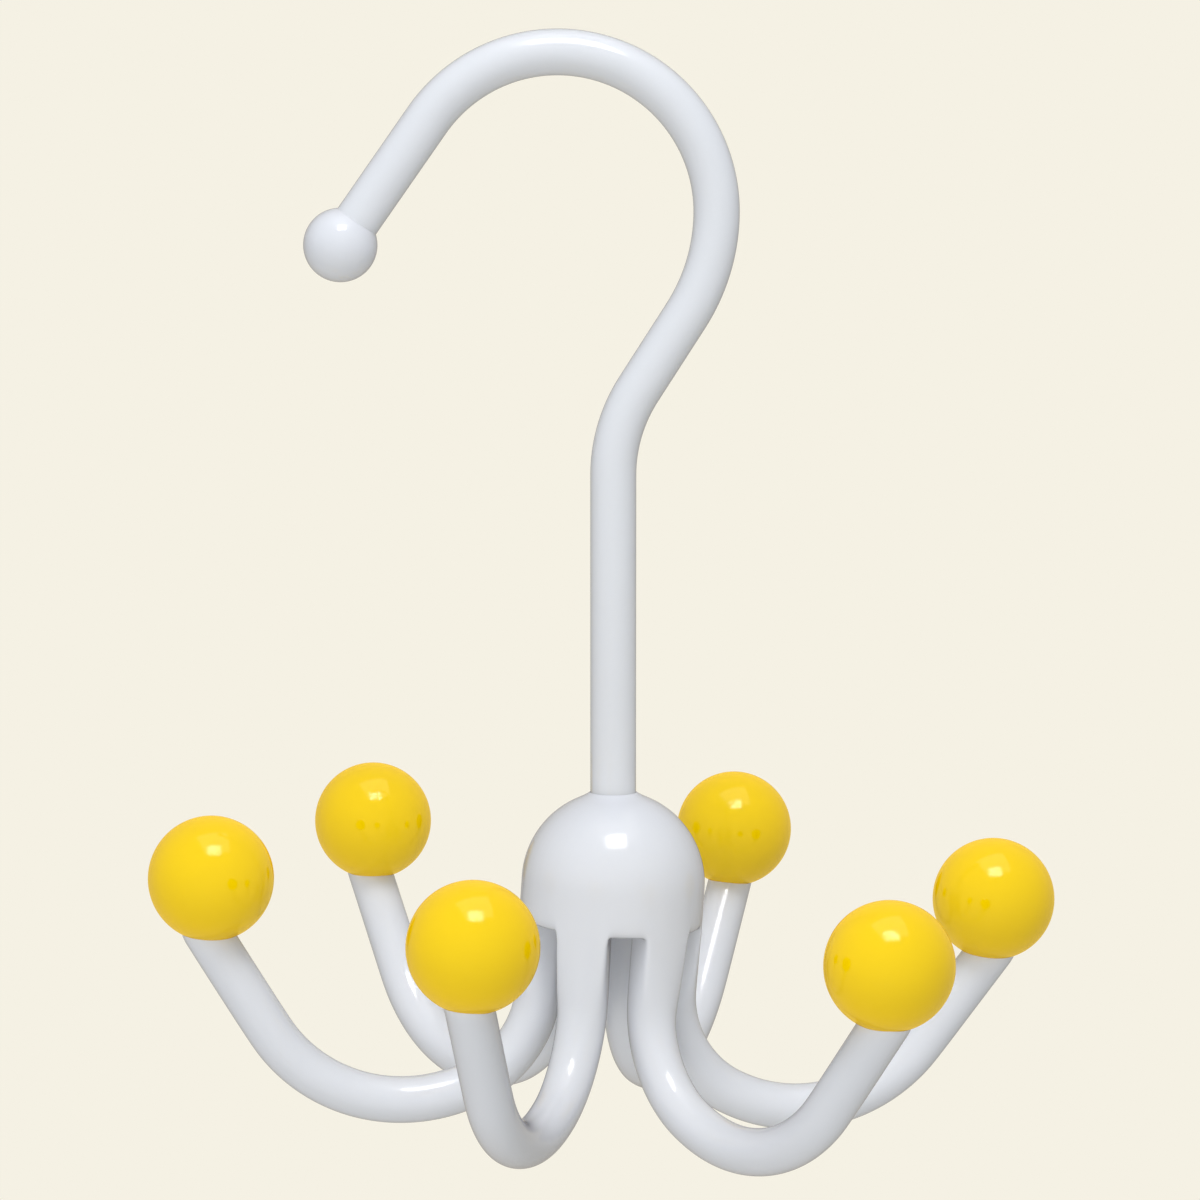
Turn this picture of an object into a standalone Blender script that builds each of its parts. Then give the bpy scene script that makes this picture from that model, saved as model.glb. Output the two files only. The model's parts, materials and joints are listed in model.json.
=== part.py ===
"""Swivelling accessory hanger.

A rod hook carries a domed hub. Six J-shaped arms hang from the hub, each ending in a ball.
Metres, +Z up, +X to the right and +Y away from the viewer. The origin is the point on the
crown of the hook where a rail bears, so everything else hangs below it or beside it.
"""

import math

import bmesh
import bpy
from mathutils import Euler, Vector

MM = 0.001

# Clearance between pieces that touch, and what a cut runs past its piece
TOUCH_GAP = 0.3 * MM
CUT_OVERRUN = 2.0 * MM

# Hook rod, walked from the hub upwards
ROD_DIAMETER = 8.1 * MM
STEM_HEIGHT = 72.6 * MM
NECK_BEND_RADIUS = 27.9 * MM
NECK_BEND_DEG = -32.7
NECK_LENGTH = 15.3 * MM
SHOULDER_BEND_RADIUS = 33.8 * MM
SHOULDER_BEND_DEG = 31.3
CROWN_RADIUS = 27.8 * MM
CROWN_DEG = 146.3
TIP_LENGTH = 29.2 * MM
TIP_BALL_DIAMETER = 13.0 * MM
TIP_BORE_DEPTH = 8.5 * MM

# Lower end of the rod: journal, bush, washer and lock nut
JOURNAL_DIAMETER = 6.0 * MM
BUSH_WALL = 0.9 * MM
BUSH_FLANGE_DIAMETER = 12.4 * MM
BUSH_FLANGE_THICKNESS = 1.0 * MM
WASHER_DIAMETER = 12.4 * MM
WASHER_THICKNESS = 1.0 * MM
NUT_ACROSS_FLATS = 10.0 * MM
NUT_HEIGHT = 5.0 * MM
NUT_CHAMFER = 0.6 * MM
ROD_END_PAST_NUT = 0.8 * MM
ROD_END_CHAMFER = 0.5 * MM

# Domed hub shell
HUB_DIAMETER = 32.6 * MM
SKIRT_DROP = 6.65 * MM
SKIRT_EDGE_FILLET = 0.7 * MM
DOME_WALL = 2.3 * MM
LIP_WIDTH = 0.35 * MM
LIP_RISE = 0.35 * MM
LIP_FLARE = 0.9 * MM

# Core inside the dome, which carries the swivel and the arms
WEB_TOP_HEIGHT = 9.0 * MM
WEB_THICKNESS = 3.0 * MM
NUT_POCKET_DIAMETER = 13.6 * MM

# Cover that closes the core from below
PLUG_SPIGOT_LENGTH = 2.4 * MM
PLUG_FLANGE_THICKNESS = 1.0 * MM
PLUG_TO_LEG_CLEARANCE = 0.5 * MM
PLUG_EDGE_CHAMFER = 0.4 * MM

# Arms
ARM_COUNT = 6
ARM_DIAMETER = 8.0 * MM
LEG_WIDTH = 9.2 * MM
LEG_STRAIGHT = 12.2 * MM
LEG_BLEND = 13.5 * MM
LEG_BEND_RADIUS = 20.2 * MM
LEG_BEND_DEG = 65.5
TROUGH_BEND_RADIUS = 28.5 * MM
TROUGH_BEND_DEG = 80.0
TENON_WIDTH = 6.0 * MM
TENON_DEPTH = 4.2 * MM
TENON_LENGTH = 9.0 * MM

# Balls on the arms
BALL_DIAMETER = 22.0 * MM
BALL_DROP = 0.87 * MM
BALL_INSET = 0.5 * MM
BALL_SEAT_DEPTH = 1.9 * MM
SPIGOT_DIAMETER = 4.6 * MM
SPIGOT_LENGTH = 8.0 * MM

# How the hub sits on the hook: turned about the stem, and leaning in the swivel's play
HUB_TURN_DEG = 10.9
HUB_LEAN_DEG = 3.7

# Facets
TUBE_SIDES = 16
LATHE_SIDES = 36
SMALL_LATHE_SIDES = 24
BEND_STEP_DEG = 10.0
LEG_STEPS = 2
BALL_SEGMENTS = 20
BALL_RINGS = 10
DOME_RINGS = 8
INNER_DOME_RINGS = 5
FILLET_STEPS = 2
SMOOTH_ANGLE_DEG = 35.0

# Squareness of a section: 2 is a circle, higher is boxier
ROUND = 2.0
LEG_SQUARENESS = 5.0
TENON_SQUARENESS = 6.0

ROD_RADIUS = ROD_DIAMETER / 2
JOURNAL_RADIUS = JOURNAL_DIAMETER / 2
HUB_RADIUS = HUB_DIAMETER / 2
ARM_RADIUS = ARM_DIAMETER / 2
BALL_RADIUS = BALL_DIAMETER / 2
SPIGOT_RADIUS = SPIGOT_DIAMETER / 2
INNER_DOME_RADIUS = HUB_RADIUS - DOME_WALL
CORE_RADIUS = INNER_DOME_RADIUS - TOUCH_GAP
STEM_BORE_RADIUS = ROD_RADIUS + TOUCH_GAP
JOURNAL_BORE_RADIUS = JOURNAL_RADIUS + TOUCH_GAP
BUSH_RADIUS = JOURNAL_BORE_RADIUS + BUSH_WALL
BUSH_BORE_RADIUS = BUSH_RADIUS + TOUCH_GAP
POCKET_RADIUS = NUT_POCKET_DIAMETER / 2
TENON_RING_RADIUS = (POCKET_RADIUS + CORE_RADIUS) / 2
LEG_RING_RADIUS = HUB_RADIUS - ARM_RADIUS
LEG_TOP = -SKIRT_DROP - TOUCH_GAP

# Heights of the swivel's stack, from the hub's centre, from the top down
BUSH_TOP = WEB_TOP_HEIGHT + TOUCH_GAP
ROD_SHOULDER = BUSH_TOP + TOUCH_GAP
WEB_BOTTOM = WEB_TOP_HEIGHT - WEB_THICKNESS
FLANGE_TOP = WEB_BOTTOM - TOUCH_GAP
FLANGE_BOTTOM = FLANGE_TOP - BUSH_FLANGE_THICKNESS
WASHER_TOP = FLANGE_BOTTOM - TOUCH_GAP
WASHER_BOTTOM = WASHER_TOP - WASHER_THICKNESS
NUT_TOP = WASHER_BOTTOM - TOUCH_GAP
NUT_BOTTOM = NUT_TOP - NUT_HEIGHT
ROD_END = NUT_BOTTOM - ROD_END_PAST_NUT


def clear_scene():
    for old in list(bpy.data.objects):
        bpy.data.objects.remove(old, do_unlink=True)


def make_material(name, colour, roughness, metallic):
    material = bpy.data.materials.new(name)
    material.use_nodes = True
    shader = material.node_tree.nodes["Principled BSDF"]
    shader.inputs["Base Color"].default_value = (*colour, 1.0)
    shader.inputs["Roughness"].default_value = roughness
    shader.inputs["Metallic"].default_value = metallic
    material.diffuse_color = (*colour, 1.0)
    return material


def coated_white():
    return make_material("coated_white", (0.80, 0.82, 0.85), 0.18, 0.0)


def moulded_white():
    return make_material("moulded_white", (0.78, 0.80, 0.84), 0.18, 0.0)


def ball_yellow():
    return make_material("ball_yellow", (0.96, 0.66, 0.02), 0.15, 0.0)


def core_plastic():
    return make_material("core_plastic", (0.62, 0.63, 0.64), 0.45, 0.0)


def bush_nylon():
    return make_material("bush_nylon", (0.85, 0.84, 0.78), 0.40, 0.0)


def plated_steel():
    return make_material("plated_steel", (0.62, 0.62, 0.60), 0.30, 1.0)


# Paths in one plane: each entry is (sideways, up, heading in radians)


def straight(path, length, steps=1):
    """Goes on along the path's heading."""
    across, up, heading = path[-1]
    for step in range(1, steps + 1):
        gone = length * step / steps
        path.append((across + gone * math.cos(heading), up + gone * math.sin(heading), heading))


def bend(path, radius, degrees):
    """Goes on along an arc, to the left where degrees is positive, and returns its centre."""
    across, up, heading = path[-1]
    side = math.copysign(1, degrees)
    centre = (across - side * radius * math.sin(heading), up + side * radius * math.cos(heading))
    steps = math.ceil(abs(degrees) / BEND_STEP_DEG)
    for step in range(1, steps + 1):
        turned = heading + math.radians(degrees) * step / steps
        path.append((centre[0] + side * radius * math.sin(turned),
                     centre[1] - side * radius * math.cos(turned), turned))
    return centre


def hook_path():
    """Centreline of the hook from the rod's shoulder to its tip, with the crown's centre."""
    path = [(0, ROD_SHOULDER, math.radians(90))]
    straight(path, STEM_HEIGHT - ROD_SHOULDER)
    bend(path, NECK_BEND_RADIUS, NECK_BEND_DEG)
    straight(path, NECK_LENGTH)
    bend(path, SHOULDER_BEND_RADIUS, SHOULDER_BEND_DEG)
    crown = bend(path, CROWN_RADIUS, CROWN_DEG)
    straight(path, TIP_LENGTH)
    return path, crown


def arm_path():
    """Centreline of an arm in its own plane, from the top of the leg to the seat in the ball."""
    path = [(LEG_RING_RADIUS, LEG_TOP, math.radians(-90))]
    straight(path, LEG_STRAIGHT, LEG_STEPS)
    bend(path, LEG_BEND_RADIUS, LEG_BEND_DEG)
    bend(path, TROUGH_BEND_RADIUS, TROUGH_BEND_DEG)
    heading = path[-1][2]
    seat_height = BALL_SEAT_DEPTH - BALL_RADIUS - BALL_DROP
    straight(path, (seat_height - path[-1][1]) / math.sin(heading))
    return path


# Rings of points, and the closed bodies lofted through them


def section_ring(place, half_depth, half_width, squareness=ROUND, flush=0.0, sides=TUBE_SIDES):
    """Ring square to the path at place. half_depth lies in the path's plane, half_width across it.

    With flush at 1 the section follows the hub's round skirt instead of lying flat.
    """
    across, up, heading = place
    ring = []
    for side in range(sides):
        angle = 2 * math.pi * side / sides
        cosine, sine = math.cos(angle), math.sin(angle)
        depth = half_depth * math.copysign(abs(cosine) ** (2 / squareness), cosine)
        width = half_width * math.copysign(abs(sine) ** (2 / squareness), sine)
        depth += flush * (HUB_RADIUS - math.sqrt(HUB_RADIUS ** 2 - width ** 2))
        ring.append(Vector((across - depth * math.sin(heading), width, up + depth * math.cos(heading))))
    return ring


def lathe_ring(radius, height, lean_share=0.0, sides=LATHE_SIDES):
    """Level ring round the Z axis, tipped about the hub's centre by a share of the hub's lean."""
    lean = Euler((0, math.radians(HUB_LEAN_DEG) * lean_share, 0)).to_matrix()
    ring = []
    for side in range(sides):
        angle = 2 * math.pi * side / sides
        ring.append(lean @ Vector((radius * math.cos(angle), radius * math.sin(angle), height)))
    return ring


def loft(body, rings, closed=False):
    """Skins the rings into a closed body: its ends are capped, or joined where closed is set."""
    rows = [[body.verts.new(point) for point in ring] for ring in rings]
    pairs = list(zip(rows, rows[1:]))
    if closed:
        pairs.append((rows[-1], rows[0]))
    faces = []
    for row, following in pairs:
        for side in range(len(row)):
            after = (side + 1) % len(row)
            faces.append(body.faces.new((row[side], row[after], following[after], following[side])))
    if not closed:
        faces.append(body.faces.new(rows[0]))
        faces.append(body.faces.new(rows[-1]))
    bmesh.ops.recalc_face_normals(body, faces=faces)


def finish_mesh(body, name):
    """Turns the working body into a mesh with smooth rounds and sharp corners."""
    mesh = bpy.data.meshes.new(name)
    body.to_mesh(mesh)
    body.free()
    mesh.shade_smooth()
    mesh.set_sharp_from_angle(angle=math.radians(SMOOTH_ANGLE_DEG))
    return mesh


def lofted_mesh(name, rings, closed=False):
    body = bmesh.new()
    loft(body, rings, closed)
    return finish_mesh(body, name)


def add_object(name, mesh, material=None, parent=None, turn_deg=0.0):
    piece = bpy.data.objects.new(name, mesh)
    bpy.context.scene.collection.objects.link(piece)
    piece.parent = parent
    piece.rotation_euler.z = math.radians(turn_deg)
    if material and not mesh.materials:
        mesh.materials.append(material)
    return piece


def add_cutter(name, mesh, parent=None):
    cutter = add_object(name, mesh, parent=parent)
    cutter.hide_render = True
    cutter.display_type = "WIRE"
    return cutter


def cut(piece, cutter):
    boolean = piece.modifiers.new("cut_" + cutter.name, "BOOLEAN")
    boolean.operation = "DIFFERENCE"
    boolean.object = cutter


def add_empty(name, location=(0, 0, 0), parent=None):
    empty = bpy.data.objects.new(name, None)
    bpy.context.scene.collection.objects.link(empty)
    empty.location = location
    empty.parent = parent
    return empty


# The hook and its swivel, modelled round the stem with the hub's centre at zero


def add_hook_rod(stem, material):
    """Round rod with the hook's bends and, below the shoulder, the thinner journal."""
    path, _ = hook_path()
    down_the_stem = math.radians(90)
    journal = [(ROD_END, JOURNAL_RADIUS - ROD_END_CHAMFER),
               (ROD_END + ROD_END_CHAMFER, JOURNAL_RADIUS),
               (ROD_SHOULDER, JOURNAL_RADIUS)]
    rings = [section_ring((0, height, down_the_stem), radius, radius) for height, radius in journal]
    rings += [section_ring(place, ROD_RADIUS, ROD_RADIUS) for place in path]
    add_object("hook_rod", lofted_mesh("hook_rod", rings), material, stem)


def add_hook_tip_ball(stem, material):
    """Ball pressed over the end of the rod, its centre where the bore's depth puts it."""
    path, _ = hook_path()
    across, up, heading = path[-1]
    forward = Vector((math.cos(heading), 0, math.sin(heading)))
    tip_radius = TIP_BALL_DIAMETER / 2
    bore_radius = ROD_RADIUS + TOUCH_GAP
    bore_rim = math.sqrt(tip_radius ** 2 - bore_radius ** 2)
    centre = Vector((across, 0, up)) + forward * (bore_rim - TIP_BORE_DEPTH + TOUCH_GAP)
    body = bmesh.new()
    bmesh.ops.create_uvsphere(body, u_segments=BALL_SEGMENTS, v_segments=BALL_RINGS, radius=tip_radius)
    turn = forward.to_track_quat("Z", "Y")
    bmesh.ops.rotate(body, verts=body.verts, matrix=turn.to_matrix())
    bmesh.ops.translate(body, verts=body.verts, vec=centre)
    ball = add_object("hook_tip_ball", finish_mesh(body, "hook_tip_ball"), material, stem)
    bottom = (across + TOUCH_GAP * forward.x, up + TOUCH_GAP * forward.z, heading)
    outside = (bottom[0] - (TIP_BORE_DEPTH + tip_radius) * forward.x,
               bottom[1] - (TIP_BORE_DEPTH + tip_radius) * forward.z, heading)
    bore = [section_ring(place, bore_radius, bore_radius) for place in (outside, bottom)]
    cut(ball, add_cutter("tip_bore", lofted_mesh("tip_bore", bore), stem))


def add_swivel_bush(stem, material):
    """Flanged bush in the core's web, in which the journal turns."""
    profile = [(JOURNAL_BORE_RADIUS, BUSH_TOP), (BUSH_RADIUS, BUSH_TOP), (BUSH_RADIUS, FLANGE_TOP),
               (BUSH_FLANGE_DIAMETER / 2, FLANGE_TOP), (BUSH_FLANGE_DIAMETER / 2, FLANGE_BOTTOM),
               (JOURNAL_BORE_RADIUS, FLANGE_BOTTOM)]
    rings = [lathe_ring(radius, height, sides=SMALL_LATHE_SIDES) for radius, height in profile]
    add_object("swivel_bush", lofted_mesh("swivel_bush", rings, closed=True), material, stem)


def add_swivel_washer(stem, material):
    profile = [(JOURNAL_BORE_RADIUS, WASHER_TOP), (WASHER_DIAMETER / 2, WASHER_TOP),
               (WASHER_DIAMETER / 2, WASHER_BOTTOM), (JOURNAL_BORE_RADIUS, WASHER_BOTTOM)]
    rings = [lathe_ring(radius, height, sides=SMALL_LATHE_SIDES) for radius, height in profile]
    add_object("swivel_washer", lofted_mesh("swivel_washer", rings, closed=True), material, stem)


def nut_ring(apothem, height):
    """Ring of a hexagon's outline, with as many points on each flat."""
    ring = []
    per_flat = SMALL_LATHE_SIDES // 6
    for side in range(SMALL_LATHE_SIDES):
        angle = 2 * math.pi * side / SMALL_LATHE_SIDES
        off_flat = math.radians((side % per_flat) * 60 / per_flat - 30)
        reach = apothem / math.cos(off_flat)
        ring.append(Vector((reach * math.cos(angle), reach * math.sin(angle), height)))
    return ring


def add_lock_nut(stem, material):
    """Hexagonal lock nut with both edges chamfered."""
    apothem = NUT_ACROSS_FLATS / 2
    edge = apothem - NUT_CHAMFER
    rings = [lathe_ring(JOURNAL_BORE_RADIUS, NUT_TOP, sides=SMALL_LATHE_SIDES), nut_ring(edge, NUT_TOP),
             nut_ring(apothem, NUT_TOP - NUT_CHAMFER), nut_ring(apothem, NUT_BOTTOM + NUT_CHAMFER),
             nut_ring(edge, NUT_BOTTOM), lathe_ring(JOURNAL_BORE_RADIUS, NUT_BOTTOM, sides=SMALL_LATHE_SIDES)]
    add_object("lock_nut", lofted_mesh("lock_nut", rings, closed=True), material, stem)


# The hub


def add_hub_dome(stem, material):
    """Domed shell with a skirt. Round its top hole it is square to the stem, and it leans below.

    Every ring of the dome lies on one sphere, so tipping the rings leaves the dome round.
    """
    lip_foot = STEM_BORE_RADIUS + LIP_WIDTH + LIP_FLARE
    first = math.asin(lip_foot / HUB_RADIUS)
    lip_top = math.sqrt(HUB_RADIUS ** 2 - (STEM_BORE_RADIUS + LIP_WIDTH) ** 2) + LIP_RISE
    rings = [lathe_ring(STEM_BORE_RADIUS, lip_top), lathe_ring(STEM_BORE_RADIUS + LIP_WIDTH, lip_top)]
    for step in range(1, FILLET_STEPS):
        share = step / FILLET_STEPS
        radius = STEM_BORE_RADIUS + LIP_WIDTH + LIP_FLARE * share
        on_sphere = math.sqrt(HUB_RADIUS ** 2 - radius ** 2)
        rings.append(lathe_ring(radius, on_sphere + LIP_RISE * (1 - share) ** 2))
    for step in range(DOME_RINGS + 1):
        share = step / DOME_RINGS
        polar = first + (math.radians(90) - first) * share
        rings.append(lathe_ring(HUB_RADIUS * math.sin(polar), HUB_RADIUS * math.cos(polar), share))
    for step in range(FILLET_STEPS + 1):
        turned = math.radians(90) * step / FILLET_STEPS
        rings.append(lathe_ring(HUB_RADIUS - SKIRT_EDGE_FILLET * (1 - math.cos(turned)),
                                -SKIRT_DROP + SKIRT_EDGE_FILLET * (1 - math.sin(turned)), 1.0))
    rings.append(lathe_ring(INNER_DOME_RADIUS, -SKIRT_DROP, 1.0))
    last = math.asin(STEM_BORE_RADIUS / INNER_DOME_RADIUS)
    for step in range(INNER_DOME_RINGS + 1):
        share = step / INNER_DOME_RINGS
        polar = math.radians(90) + (last - math.radians(90)) * share
        rings.append(lathe_ring(INNER_DOME_RADIUS * math.sin(polar),
                                INNER_DOME_RADIUS * math.cos(polar), 1 - share))
    add_object("hub_dome", lofted_mesh("hub_dome", rings, closed=True), material, stem)


def tenon_rings(gap):
    """Oblong tenon on top of a leg, or its socket where gap is set."""
    foot = LEG_TOP if not gap else LEG_TOP - CUT_OVERRUN
    upwards = math.radians(-90)
    places = [(TENON_RING_RADIUS, LEG_TOP + TENON_LENGTH + gap, upwards),
              (TENON_RING_RADIUS, foot, upwards)]
    return [section_ring(place, TENON_DEPTH / 2 + gap, TENON_WIDTH / 2 + gap, TENON_SQUARENESS)
            for place in places]


def add_hub_core(stem, lean, material):
    """Carrier inside the dome: a web for the swivel bush over a ring with six tenon sockets."""
    top_polar = math.acos(WEB_TOP_HEIGHT / CORE_RADIUS)
    rings = [lathe_ring(BUSH_BORE_RADIUS, WEB_TOP_HEIGHT)]
    for step in range(FILLET_STEPS + 1):
        share = step / FILLET_STEPS
        polar = top_polar + (math.radians(90) - top_polar) * share
        rings.append(lathe_ring(CORE_RADIUS * math.sin(polar), CORE_RADIUS * math.cos(polar), share))
    rings += [lathe_ring(CORE_RADIUS, -SKIRT_DROP, 1.0), lathe_ring(POCKET_RADIUS, -SKIRT_DROP, 1.0),
              lathe_ring(POCKET_RADIUS, WEB_BOTTOM), lathe_ring(BUSH_BORE_RADIUS, WEB_BOTTOM)]
    core = add_object("hub_core", lofted_mesh("hub_core", rings, closed=True), material, stem)
    body = bmesh.new()
    for number in range(ARM_COUNT):
        rings = tenon_rings(TOUCH_GAP)
        turn = Euler((0, 0, math.radians(HUB_TURN_DEG + number * 360 / ARM_COUNT))).to_matrix()
        loft(body, [[turn @ point for point in ring] for ring in rings])
    cut(core, add_cutter("tenon_sockets", finish_mesh(body, "tenon_sockets"), lean))


def add_core_plug(lean, material):
    """Cover pressed into the core's pocket, with a flange that stays clear of the legs."""
    flange_radius = LEG_RING_RADIUS - ARM_RADIUS - PLUG_TO_LEG_CLEARANCE
    spigot_radius = POCKET_RADIUS - TOUCH_GAP
    flange_top = -SKIRT_DROP - TOUCH_GAP
    bottom = flange_top - PLUG_FLANGE_THICKNESS
    profile = [(spigot_radius - PLUG_EDGE_CHAMFER, flange_top + PLUG_SPIGOT_LENGTH),
               (spigot_radius, flange_top + PLUG_SPIGOT_LENGTH - PLUG_EDGE_CHAMFER),
               (spigot_radius, flange_top), (flange_radius, flange_top),
               (flange_radius, bottom + PLUG_EDGE_CHAMFER), (flange_radius - PLUG_EDGE_CHAMFER, bottom)]
    rings = [lathe_ring(radius, height, sides=SMALL_LATHE_SIDES) for radius, height in profile]
    add_object("core_plug", lofted_mesh("core_plug", rings), material, lean)


# Arms and balls, modelled once along +X and turned round the hub


def leg_section(gone):
    """Half depth, half width, squareness and flushness of the leg at this distance down it."""
    share = min(gone / LEG_BLEND, 1.0)
    eased = share * share * (3 - 2 * share)
    half_width = (LEG_WIDTH + (ARM_DIAMETER - LEG_WIDTH) * eased) / 2
    squareness = LEG_SQUARENESS + (ROUND - LEG_SQUARENESS) * eased
    return ARM_RADIUS, half_width, squareness, 1 - eased


def ball_end_rings(seat, gap):
    """Slanting end of the arm cut level at the ball's seat, and the upright spigot above it."""
    across, up, heading = seat
    upright = math.radians(90)
    ball_axis = across - BALL_INSET
    slant = (ARM_RADIUS + gap) / math.sin(heading)
    return [section_ring((across, up + gap, upright), slant, ARM_RADIUS + gap),
            section_ring((ball_axis, up + gap, upright), SPIGOT_RADIUS + gap, SPIGOT_RADIUS + gap),
            section_ring((ball_axis, up + SPIGOT_LENGTH + gap, upright),
                         SPIGOT_RADIUS + gap, SPIGOT_RADIUS + gap)]


def arm_mesh():
    """J-shaped arm: tenon, squarish leg flush with the skirt, round bend and spigot."""
    path = arm_path()
    rings = tenon_rings(0)
    gone = 0
    before = path[0]
    for place in path[:-1]:
        gone += math.hypot(place[0] - before[0], place[1] - before[1])
        half_depth, half_width, squareness, flush = leg_section(gone)
        rings.append(section_ring(place, half_depth, half_width, squareness, flush))
        before = place
    rings += ball_end_rings(path[-1], 0)
    return lofted_mesh("arm", rings)


def ball_cutter_mesh():
    """Hollow for the arm's end, made from the arm's own sizes plus the gap."""
    seat = arm_path()[-1]
    across, up, heading = seat
    below = (across - BALL_RADIUS * math.cos(heading), up - BALL_RADIUS * math.sin(heading), heading)
    radius = ARM_RADIUS + TOUCH_GAP
    return lofted_mesh("ball_hollow", [section_ring(below, radius, radius)] + ball_end_rings(seat, TOUCH_GAP))


def ball_mesh():
    across, _, _ = arm_path()[-1]
    body = bmesh.new()
    bmesh.ops.create_uvsphere(body, u_segments=BALL_SEGMENTS, v_segments=BALL_RINGS, radius=BALL_RADIUS)
    bmesh.ops.translate(body, verts=body.verts, vec=(across - BALL_INSET, 0, -BALL_DROP))
    return finish_mesh(body, "ball")


def add_arms_and_balls(lean, arm_material, ball_material):
    arm, ball, hollow = arm_mesh(), ball_mesh(), ball_cutter_mesh()
    for number in range(ARM_COUNT):
        turn_deg = HUB_TURN_DEG + number * 360 / ARM_COUNT
        add_object(f"arm_{number + 1}", arm, arm_material, lean, turn_deg)
        piece = add_object(f"ball_{number + 1}", ball, ball_material, lean, turn_deg)
        cutter = add_cutter(f"ball_hollow_{number + 1}", hollow, lean)
        cutter.rotation_euler.z = math.radians(turn_deg)
        cut(piece, cutter)


def build():
    clear_scene()
    _, crown = hook_path()
    stem = add_empty("stem_axis", (-crown[0], 0, -crown[1] - CROWN_RADIUS + ROD_RADIUS))
    lean = add_empty("hub_lean", parent=stem)
    lean.rotation_euler.y = math.radians(HUB_LEAN_DEG)
    white, moulded, steel = coated_white(), moulded_white(), plated_steel()
    add_hook_rod(stem, white)
    add_hook_tip_ball(stem, white)
    add_swivel_bush(stem, bush_nylon())
    add_swivel_washer(stem, steel)
    add_lock_nut(stem, steel)
    add_hub_dome(stem, moulded)
    add_hub_core(stem, lean, core_plastic())
    add_core_plug(lean, moulded)
    add_arms_and_balls(lean, moulded, ball_yellow())


build()
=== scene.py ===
import json
import math

import bmesh
import bpy
import numpy as np
from bpy.props import FloatProperty, FloatVectorProperty, IntProperty, PointerProperty
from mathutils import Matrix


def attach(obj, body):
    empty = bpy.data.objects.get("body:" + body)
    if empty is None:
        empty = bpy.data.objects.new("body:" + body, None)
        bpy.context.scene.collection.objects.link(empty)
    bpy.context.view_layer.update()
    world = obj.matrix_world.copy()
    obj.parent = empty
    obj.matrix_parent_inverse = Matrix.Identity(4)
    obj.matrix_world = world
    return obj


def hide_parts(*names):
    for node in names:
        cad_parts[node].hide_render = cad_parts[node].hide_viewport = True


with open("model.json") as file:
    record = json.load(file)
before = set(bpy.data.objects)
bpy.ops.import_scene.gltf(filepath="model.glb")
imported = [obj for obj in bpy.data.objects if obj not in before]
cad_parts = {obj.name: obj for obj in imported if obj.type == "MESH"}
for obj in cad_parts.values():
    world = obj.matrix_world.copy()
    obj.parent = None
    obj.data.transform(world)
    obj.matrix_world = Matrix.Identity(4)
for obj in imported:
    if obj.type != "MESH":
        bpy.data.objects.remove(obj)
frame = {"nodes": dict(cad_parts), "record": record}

bl_info = {
    "name": "Accessory hanger",
    "version": (1, 0, 0),
    "blender": (4, 5, 0),
    "location": "3D View > Sidebar > Hanger",
    "description": "Dresses the hanger's solids: coated hook, white hub with six arms, yellow balls",
    "category": "Object",
}

MM = 0.001
RECORD = frame["record"]
SWIVEL = next(joint for joint in RECORD["behaviour"]["joints"] if joint["name"] == "hub_swivel")
HUB_CENTRE = np.array(SWIVEL["pos_m"])
SLOT_COLOUR = {entry["slot"]: entry["base_color"] for entry in RECORD["materials"]}


def length(name, description, millimetres):
    """A length that a user may change, given here in millimetres."""
    return FloatProperty(name=name, description=description, default=millimetres * MM, unit="LENGTH")


def lengths(name, description, millimetres):
    """One length for each arm."""
    return FloatVectorProperty(name=name, description=description, unit="LENGTH", size=len(millimetres),
                               default=[part * MM for part in millimetres])


def angle(name, description, degrees):
    """An angle that a user may change, given here in degrees."""
    return FloatProperty(name=name, description=description, default=math.radians(degrees),
                         subtype="ANGLE")


def colour(name, description, value):
    """A colour that a user may change."""
    return FloatVectorProperty(name=name, description=description, default=value, size=3,
                               subtype="COLOR", min=0.0, max=1.0)


def power(name, description, watts):
    """A lamp's power that a user may change."""
    return FloatProperty(name=name, description=description, default=watts, unit="POWER")


class HookSizes(bpy.types.PropertyGroup):
    """Sizes of the bent rod and its tip ball."""

    rod_diameter: length("Rod", "Diameter of the coated rod", 8.1)
    journal_diameter: length("Journal", "Diameter of the rod inside the hub", 6.0)
    journal_foot: length("Journal foot", "Height of the journal's lower end above the hub's centre", -2.9)
    shoulder_height: length("Shoulder", "Height of the rod's shoulder above the hub's centre", 9.6)
    stem_height: length("Stem", "Height of the first bend above the hub's centre", 72.6)
    neck_radius: length("Neck radius", "Radius of the bend over the stem", 27.9)
    neck_turn: angle("Neck turn", "Turn of the bend over the stem", -32.7)
    neck_length: length("Neck", "Straight length between the neck and the shoulder bend", 15.3)
    shoulder_radius: length("Shoulder radius", "Radius of the bend below the crown", 33.8)
    shoulder_turn: angle("Shoulder turn", "Turn of the bend below the crown", 31.3)
    crown_radius: length("Crown radius", "Radius of the rod's centreline in the crown", 27.8)
    crown_turn: angle("Crown turn", "Turn of the crown", 146.3)
    tip_length: length("Tip", "Straight length after the crown", 29.9)
    tip_ball_diameter: length("Tip ball", "Diameter of the ball on the hook's tip", 13.0)
    tip_bore_depth: length("Tip bore", "Depth of the rod in the tip ball", 8.5)


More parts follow.
